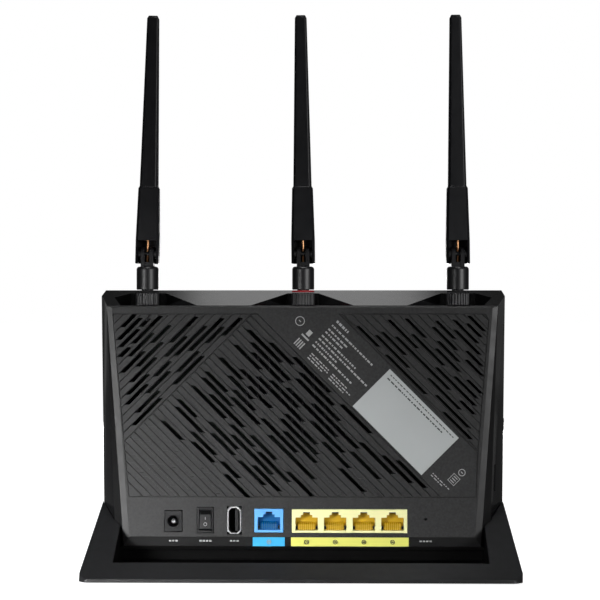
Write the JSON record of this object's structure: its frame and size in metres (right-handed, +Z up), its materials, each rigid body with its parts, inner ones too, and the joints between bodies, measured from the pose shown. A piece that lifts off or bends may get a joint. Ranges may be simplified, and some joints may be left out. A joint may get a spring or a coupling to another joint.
{
  "type": "wireless router",
  "caption": "Upright desktop wireless router with folding antennas, a vented rear face with network sockets, and a wedge stand.",
  "frame": {"origin": "middle of the footprint, on the surface the router stands on", "axes": "+Z up, -Y out of the rear face with the sockets, +X to the right of someone who looks at the sockets"},
  "size_m": [0.2224, 0.096, 0.2915],
  "materials": {
    "shell": "fine matt moulded texture",
    "stand": "satin moulded black",
    "antenna_plastic": "satin moulded black",
    "rubber": "matt",
    "red_ring": "satin",
    "socket_black": "semi-gloss",
    "wan_blue": "semi-gloss",
    "lan_yellow": "semi-gloss",
    "steel": "plated",
    "contact_gold": "gold plated",
    "copper": "bare copper",
    "circuit_board": "solder mask",
    "aluminium": "extruded",
    "label": "matt film",
    "clear_plastic": "clear"
  },
  "bodies": {
    "body": {"rear_cover": "shell", "front_shell": "shell", "light_guide": "clear_plastic", "stand_base": "stand", "stand_bottom_cover": "stand", "foot_rear_left": "rubber", "foot_rear_right": "rubber", "foot_front_left": "rubber", "foot_front_right": "rubber", "stand_screw_1": "steel", "stand_screw_2": "steel", "main_board": "circuit_board", "modem_module": "steel", "radio_shield": "steel", "heat_sink": "aluminium", "dc_jack": "socket_black", "dc_jack_pin": "steel", "power_switch_body": "socket_black", "usb_shell": "steel", "usb_tongue": "socket_black", "wan_jack": "wan_blue", "wan_contacts": "contact_gold", "lan_jack_block": "lan_yellow", "lan_contacts_1": "contact_gold", "lan_contacts_2": "contact_gold", "lan_contacts_3": "contact_gold", "lan_contacts_4": "contact_gold", "wan_port_strip": "wan_blue", "lan_port_strip": "lan_yellow", "rating_label": "label", "reset_switch": "socket_black", "wps_switch": "socket_black", "sim_card_holder": "steel", "antenna_left_connector": "contact_gold", "antenna_middle_connector": "contact_gold", "antenna_right_connector": "contact_gold"},
    "rocker": {"power_rocker": "socket_black"},
    "reset": {"reset_button": "socket_black"},
    "wps": {"wps_button": "shell"},
    "left_nut": {"antenna_left_nut": "antenna_plastic"},
    "left_swivel": {"antenna_left_ring": "rubber", "antenna_left_collar": "antenna_plastic"},
    "left_blade": {"antenna_left_blade": "antenna_plastic", "antenna_left_hinge_pin": "steel", "antenna_left_coax": "copper", "antenna_left_radiator": "copper"},
    "middle_nut": {"antenna_middle_nut": "antenna_plastic"},
    "middle_swivel": {"antenna_middle_ring": "red_ring", "antenna_middle_collar": "antenna_plastic"},
    "middle_blade": {"antenna_middle_blade": "antenna_plastic", "antenna_middle_hinge_pin": "steel", "antenna_middle_coax": "copper", "antenna_middle_radiator": "copper"},
    "right_nut": {"antenna_right_nut": "antenna_plastic"},
    "right_swivel": {"antenna_right_ring": "rubber", "antenna_right_collar": "antenna_plastic"},
    "right_blade": {"antenna_right_blade": "antenna_plastic", "antenna_right_hinge_pin": "steel", "antenna_right_coax": "copper", "antenna_right_radiator": "copper"}
  },
  "joints": [
    {"name": "rocker_tilt", "type": "hinge", "parent": "body", "child": "rocker", "pos_m": [-0.0503, -0.002, 0.027], "axis": [1, 0, 0], "range_deg": [0, 16]},
    {"name": "reset_press", "type": "slide", "parent": "body", "child": "reset", "axis": [0, 1, 0], "range_m": [0, 0.0005], "stiffness_N_per_m": 300, "springref_m": -0.0005},
    {"name": "wps_press", "type": "slide", "parent": "body", "child": "wps", "axis": [-1, 0, 0], "range_m": [0, 0.001], "stiffness_N_per_m": 400, "springref_m": -0.0005},
    {"name": "left_nut_turn", "type": "hinge", "parent": "body", "child": "left_nut", "pos_m": [-0.0818, 0.01, 0.142], "axis": [0, 0, 1], "continuous": true},
    {"name": "left_swivel_turn", "type": "hinge", "parent": "body", "child": "left_swivel", "pos_m": [-0.0818, 0.01, 0.15], "axis": [0, 0, 1], "range_deg": [-180, 180]},
    {"name": "left_fold", "type": "hinge", "parent": "left_swivel", "child": "left_blade", "pos_m": [-0.0818, 0.01, 0.166], "axis": [0.9997, 0, -0.0244], "range_deg": [0, 90]},
    {"name": "middle_nut_turn", "type": "hinge", "parent": "body", "child": "middle_nut", "pos_m": [0.0004, 0.01, 0.142], "axis": [0, 0, 1], "continuous": true},
    {"name": "middle_swivel_turn", "type": "hinge", "parent": "body", "child": "middle_swivel", "pos_m": [0.0004, 0.01, 0.15], "axis": [0, 0, 1], "range_deg": [-180, 180]},
    {"name": "middle_fold", "type": "hinge", "parent": "middle_swivel", "child": "middle_blade", "pos_m": [0.0004, 0.01, 0.166], "axis": [0.9999, 0, 0.0105], "range_deg": [0, 90]},
    {"name": "right_nut_turn", "type": "hinge", "parent": "body", "child": "right_nut", "pos_m": [0.0818, 0.01, 0.142], "axis": [0, 0, 1], "continuous": true},
    {"name": "right_swivel_turn", "type": "hinge", "parent": "body", "child": "right_swivel", "pos_m": [0.0818, 0.01, 0.15], "axis": [0, 0, 1], "range_deg": [-180, 180]},
    {"name": "right_fold", "type": "hinge", "parent": "right_swivel", "child": "right_blade", "pos_m": [0.0818, 0.01, 0.166], "axis": [0.9999, 0, 0.0105], "range_deg": [0, 90]}
  ]
}
